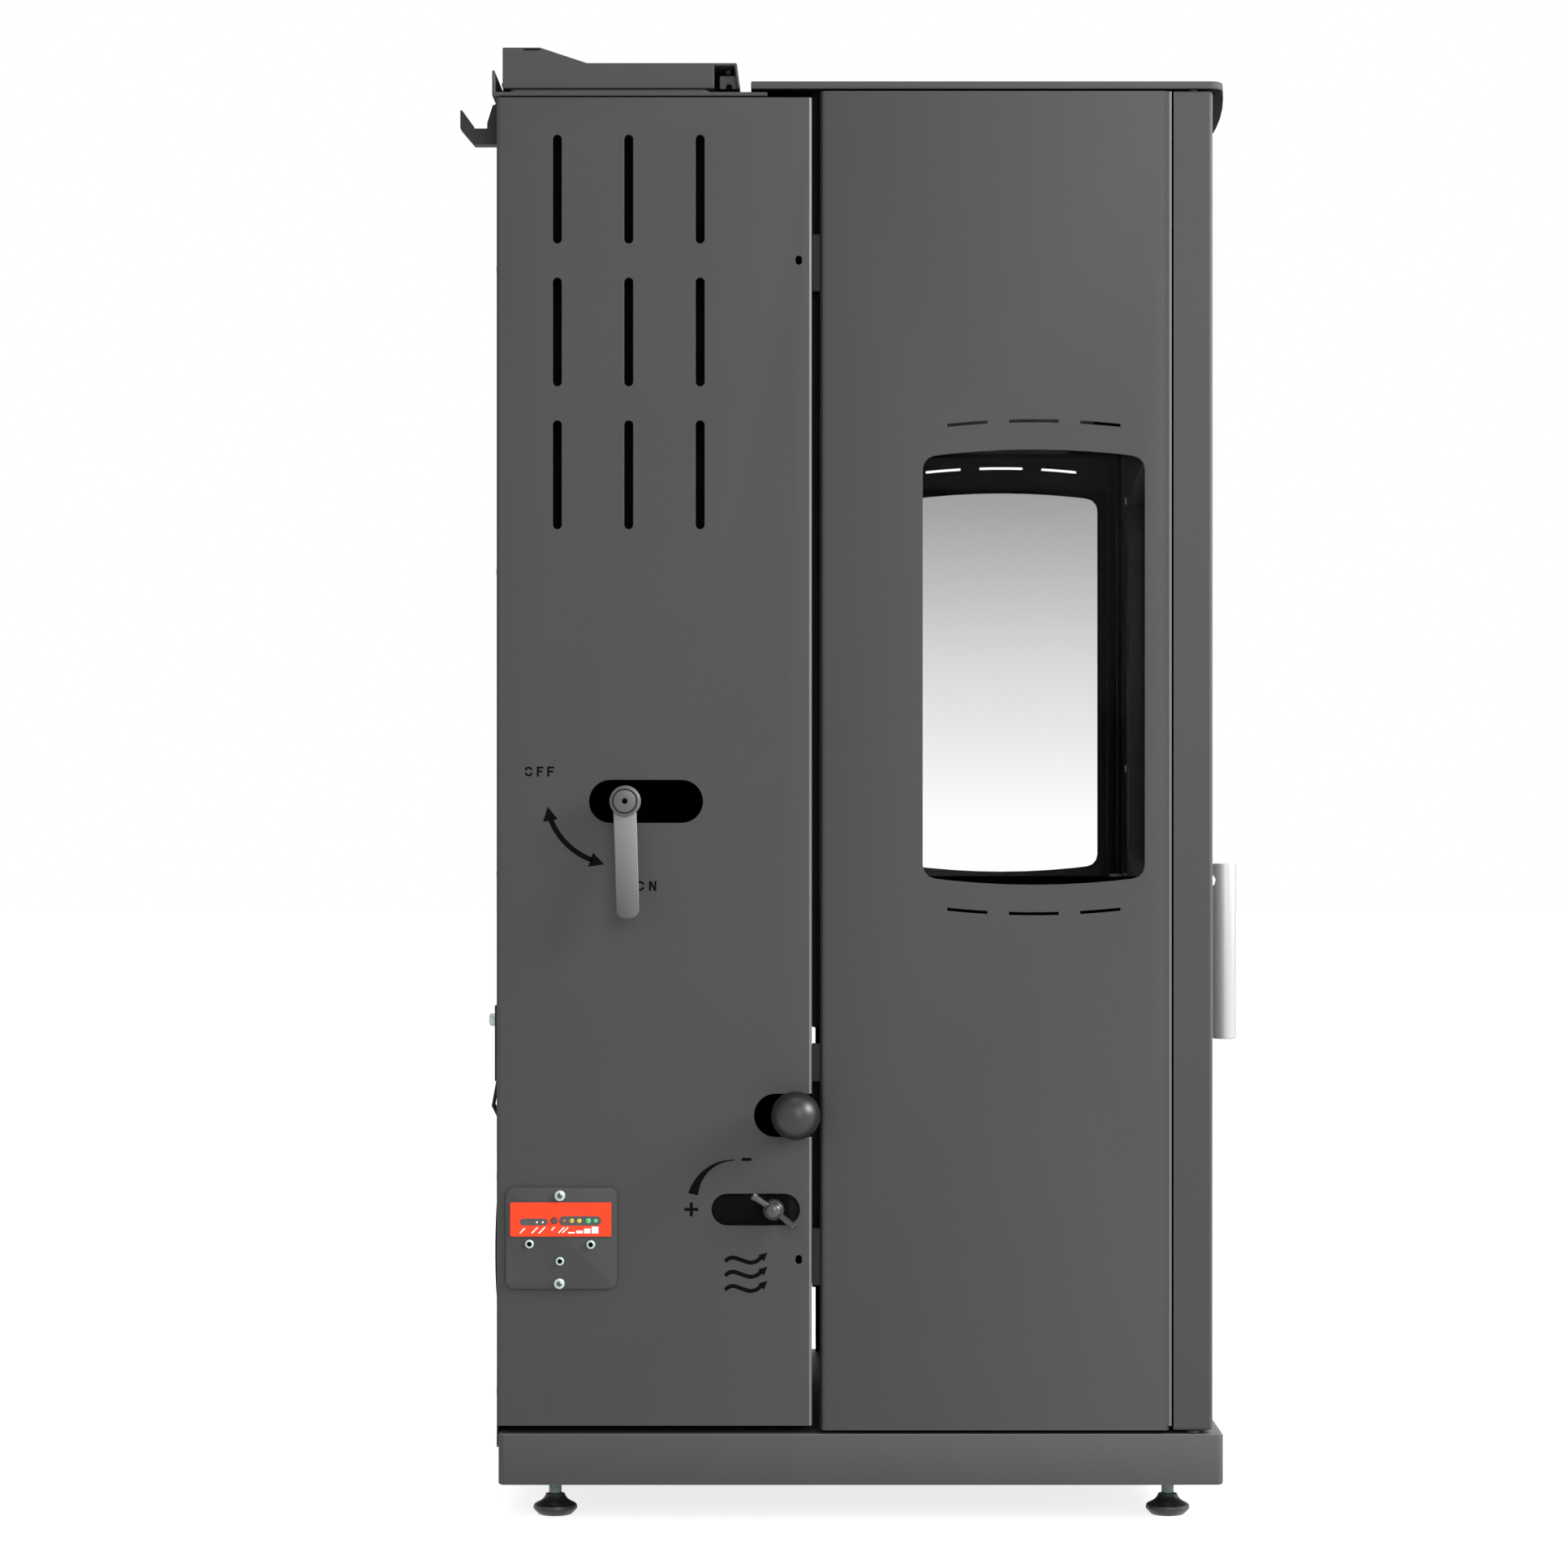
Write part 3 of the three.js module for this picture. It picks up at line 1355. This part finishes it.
// Wing nut, drawn with its base at the origin and its axis along -X.
function wingNut() {
  const bore = bar(new THREE.Vector3(1, 0, 0), new THREE.Vector3(-studReach, 0, 0),
    studRadius + running, 16);
  const hub = turned([
    [0, 0],
    [wingHubRadius, 0],
    [wingDomeRadius, wingHubLength],
    [wingDomeRadius * 0.94, wingDomeLength - 2],
    [wingDomeRadius * 0.8, wingDomeLength],
    [0, wingDomeLength],
  ], new THREE.Vector3(), right.clone().negate(), 20);
  const wings = sides.map(({ side }) => upBody(outline([
    [-1, side * 2],
    [-1, side * wingHubRadius * 0.9],
    [-wingHeight * 0.55, side * wingSpan * 0.5, 3],
    [-wingHeight, side * wingSpan * 0.5, 3.5],
    [-wingHeight, side * wingSpan * 0.34, 3],
    [-wingDomeLength + 2, side * 2],
  ]), -wingThickness / 2, wingThickness / 2));
  return cut(join(hub, ...wings), bore);
}

const air = assembly();
add(air, 'air_duct', airDuct(), soot);
add(air, 'air_damper', airDamper(), iron);
const nut = add(air, 'wing_nut', wingNut(), greySteel);
nut.position.copy(spot(-half - seat, damperStudDepth, airSlotZ));
nut.rotation.x = THREE.MathUtils.degToRad(wingTurn);

// ---------------------------------------------------------------------------------------
// Smoke duct and flue pipe
// ---------------------------------------------------------------------------------------

function smokeDuct() {
  const lowerBox = (inset) => block(smokeBoxInnerX + inset, ductOuterX - inset,
    smokeBoxRear + inset, ductFront - inset, smokeBoxBottom + inset, smokeBoxTop - inset);
  const riser = (inset) => block(ductInnerX + inset, ductOuterX - inset, ductRear + inset,
    ductFront - inset, smokeBoxBottom + inset, ductTop - inset);
  const smokeHole = block(ductInnerX + 2 * ductSheet, ductOuterX - 2 * ductSheet,
    ductFront - ductSheet - 1, ductFront + 1, smokeHoleBottom, smokeHoleTop);
  const flueHole = bar(spot(0, smokeBoxRear - 1, flueZ), spot(0, smokeBoxRear + ductSheet + 1, flueZ),
    flueRadius - flueWall, 28);
  return cut(join(lowerBox(0), riser(0)), lowerBox(ductSheet), riser(ductSheet), smokeHole, flueHole);
}

function fluePipe() {
  const inner = smokeBoxRear - seat;
  const pipe = bar(spot(0, -flueReach, flueZ), spot(0, inner, flueZ), flueRadius, 28);
  const collarFace = -rearPanelThickness - seat;
  const collar = bar(spot(0, collarFace - flueCollarThickness, flueZ), spot(0, collarFace, flueZ),
    flueCollarRadius, 28);
  const bore = bar(spot(0, -flueReach - 1, flueZ), spot(0, inner + 1, flueZ),
    flueRadius - flueWall, 28);
  return cut(join(pipe, collar), bore);
}

const smoke = assembly();
add(smoke, 'smoke_duct', smokeDuct(), soot);
add(smoke, 'flue_pipe', fluePipe(), soot);

// ---------------------------------------------------------------------------------------
// Door
// ---------------------------------------------------------------------------------------

const spindleBore = bar(spot(handleX, doorBack - 1, spindleZ), spot(handleX, handleDepth, spindleZ),
  spindleRadius + running);
const doorOpening = (grow) => archedWindow(0, doorWindowHalf + grow, windowSill - grow,
  windowHead + grow, 10);

function doorShell() {
  const bottom = frontPanelBottom;
  const outer = throughBody(rectangle(-half, half, bottom, bodyTop, 3), doorBack - doorBevel, doorFront,
    doorBevel);
  const trim = block(-half - 1, half + 1, doorBack - doorThickness, doorBack,
    bottom - 1, bodyTop + 1);
  const hollow = block(-half + doorSheet, half - doorSheet, doorBack - 1, doorFront - doorSheet,
    bottom + doorSheet, bodyTop - doorSheet);
  const opening = throughBody(doorOpening(0), doorFront - doorSheet - 1, doorFront + 1);
  // Solid ends for the hinge pins, inside the shell's corner.
  const bossReach = doorBossRadius + doorBossWeb;
  const bossHeight = doorPinReach + doorBossCap;
  const bosses = [bottom + 1, bodyTop - 1 - bossHeight].map((z) => block(-half + 1,
    hingeX + bossReach, hingeDepth - bossReach, hingeDepth + bossReach, z, z + bossHeight));
  const rosette = bar(spot(handleX, doorFront - 1, spindleZ),
    spot(handleX, doorFront + rosetteHeight, spindleZ), rosetteRadius, 24);
  const pinBores = [bottom - 1, bodyTop - doorPinReach - seat].map((z) => bar(
    spot(hingeX, hingeDepth, z), spot(hingeX, hingeDepth, z + doorPinReach + seat + 1),
    doorPinRadius + running, 16));
  return cut(join(cut(outer, trim, hollow), ...bosses, rosette), opening, spindleBore, ...pinBores);
}

function doorLiner() {
  const bottom = frontPanelBottom + linerInset;
  const liner = block(-half + linerInset, half - linerInset, doorBack, doorBack + linerThickness,
    bottom, bodyTop - linerInset);
  // A folded collar carries the glass around the window.
  const collar = throughBody(doorOpening(doorGlassBorder), doorBack + 1, doorGlassDepth - seat);
  const view = throughBody(doorOpening(doorGlassBorder - linerCollar), doorBack - 1, doorFront);
  return cut(join(liner, collar), view, spindleBore);
}

function doorGasket() {
  const ring = (inset) => rectangle(-chamberHalf + inset, chamberHalf - inset,
    frontPanelBottom + inset, wallTop - inset - 2, gasketCorner);
  return cut(
    throughBody(ring(gasketInset), chamberFront + seat, doorBack - seat),
    throughBody(ring(gasketInset + gasketWidth), chamberFront, doorBack),
  );
}

const door = assembly();
add(door, 'door_shell', doorShell(), graphite);
add(door, 'door_liner', doorLiner(), soot);
add(door, 'door_glass', throughBody(doorOpening(doorGlassBorder), doorGlassDepth,
  doorGlassDepth + glassThickness), clear);
add(door, 'door_gasket', doorGasket(), rope);

// The door turns on a flanged pin in the base and a plain one in the top plate.
function lowerDoorPin() {
  return turned([
    [0, -doorPinRoot],
    [doorPinRadius, -doorPinRoot],
    [doorPinRadius, seat],
    [doorPinFlange, seat],
    [doorPinFlange, seat + doorPinFlangeHeight],
    [doorPinRadius, seat + doorPinFlangeHeight],
    [doorPinRadius, frontPanelLift + doorPinReach - seat],
    [0, frontPanelLift + doorPinReach - seat],
  ], spot(hingeX, hingeDepth, baseTop), up, 16);
}

const hingePins = assembly();
add(hingePins, 'door_hinge_pin_lower', lowerDoorPin(), steel);
add(hingePins, 'door_hinge_pin_upper', bar(
  spot(hingeX, hingeDepth, bodyTop - doorPinReach + seat),
  spot(hingeX, hingeDepth, topPlateBottom + doorPinRoot),
  doorPinRadius,
), steel);

// ---------------------------------------------------------------------------------------
// Door handle
// ---------------------------------------------------------------------------------------

function handleBar() {
  const profile = [
    [0, 0],
    [handleRadius - 1, 0],
    [handleRadius, 1],
    [handleRadius, handleTop - handleBottom - 1],
    [handleRadius - 1, handleTop - handleBottom],
    [0, handleTop - handleBottom],
  ];
  const grip = turned(profile, spot(handleX, handleDepth, handleBottom), up, 28);
  const socket = bar(spot(handleX, handleDepth - handleRadius - 1, spindleZ),
    spot(handleX, handleDepth - handleRadius + spindleBite + seat, spindleZ),
    spindleRadius + running);
  return cut(grip, socket);
}

function handleSpindle() {
  const tongueFront = seatFrameRear - tongueGap;
  const rod = bar(spot(handleX, tongueFront - tongueThickness, spindleZ),
    spot(handleX, handleDepth - handleRadius + spindleBite, spindleZ), spindleRadius);
  const tongue = block(handleX, handleX + tongueLength, tongueFront - tongueThickness, tongueFront,
    spindleZ - tongueHeight / 2, spindleZ + tongueHeight / 2);
  return join(rod, tongue);
}

const handle = assembly();
add(handle, 'handle_bar', handleBar(), steel);
add(handle, 'handle_spindle', handleSpindle(), steel);

// ---------------------------------------------------------------------------------------
// Ash drawer
// ---------------------------------------------------------------------------------------

// Angle rails on the base, in which the drawer slides.
function drawerRail(side) {
  const face = side * (drawerHalf + slideGap);
  const outer = side * (drawerHalf + slideGap + railWall);
  const inner = side * (drawerHalf - railLedge);
  const ledgeTop = drawerBottom - seat;
  return join(
    block(inner, outer, drawerRear, drawerFront, ledgeTop - railWall, ledgeTop),
    block(face, outer, drawerRear, drawerFront, baseTop + seat, drawerBottom + railLedge),
  );
}

function ashDrawer() {
  const topZ = drawerBottom + drawerHeight;
  const box = block(-drawerHalf, drawerHalf, drawerRear, drawerFront, drawerBottom, topZ);
  const hollow = block(-drawerHalf + drawerWall, drawerHalf - drawerWall, drawerRear + drawerWall,
    drawerFront - drawerWall, drawerBottom + drawerWall, topZ + 1);
  const pull = acrossBody(outline([
    [drawerFront - 1, drawerPullZ],
    [drawerFront + drawerPullReach, drawerPullZ, 2],
    [drawerFront + drawerPullReach, drawerPullZ - drawerPullDrop],
    [drawerFront + drawerPullReach - drawerWall, drawerPullZ - drawerPullDrop],
    [drawerFront + drawerPullReach - drawerWall, drawerPullZ - drawerWall],
    [drawerFront - 1, drawerPullZ - drawerWall],
  ]), -drawerPullHalf, drawerPullHalf);
  return join(cut(box, hollow), pull);
}

const ash = assembly();
sides.forEach(({ side, word }) => {
  add(ash, `drawer_rail_${word}`, drawerRail(side), soot);
});
add(ash, 'ash_drawer', ashDrawer(), greySteel);

// ---------------------------------------------------------------------------------------
// Control panel
// ---------------------------------------------------------------------------------------

const controlFace = -half - seat;
const controlFront = controlFace - controlThickness;
const labelBack = controlFront - 0.1;
const labelFront = labelBack - labelThickness;
const buttonBore = bar(spot(labelFront - 1, buttonDepth, buttonZ),
  spot(controlFace + 1, buttonDepth, buttonZ), buttonRadius + running);

function controlPanel() {
  const shape = rectangle(controlRear, controlRear + controlWidth, controlBottom,
    controlBottom + controlHeight, controlCorner);
  return cut(acrossBody(shape, controlFace, controlFront, 0.8), buttonBore);
}

function controlLabel() {
  const shape = rectangle(labelRear, labelRear + labelWidth, labelBottom, labelBottom + labelHeight,
    1);
  return cut(acrossBody(shape, labelBack, labelFront), buttonBore);
}

const controls = assembly();
add(controls, 'control_panel', controlPanel(), graphite);
add(controls, 'control_label', controlLabel(), orange);
add(controls, 'control_button', bar(spot(labelFront - buttonProud, buttonDepth, buttonZ),
  spot(controlFace - buttonTravel - seat, buttonDepth, buttonZ), buttonRadius, 16), bakelite);

// ---------------------------------------------------------------------------------------
// The row's origin: on the floor, under the middle of the whole stove's bounding box
// ---------------------------------------------------------------------------------------

const leftmost = ballCentreX - ballRadius;
const rearmost = -rearPanelThickness - seat - hookReach;
const foremost = handleDepth + handleRadius;
stove.position.set(-(leftmost + half) / 2, (rearmost + foremost) / 2, 0);

export default stove;
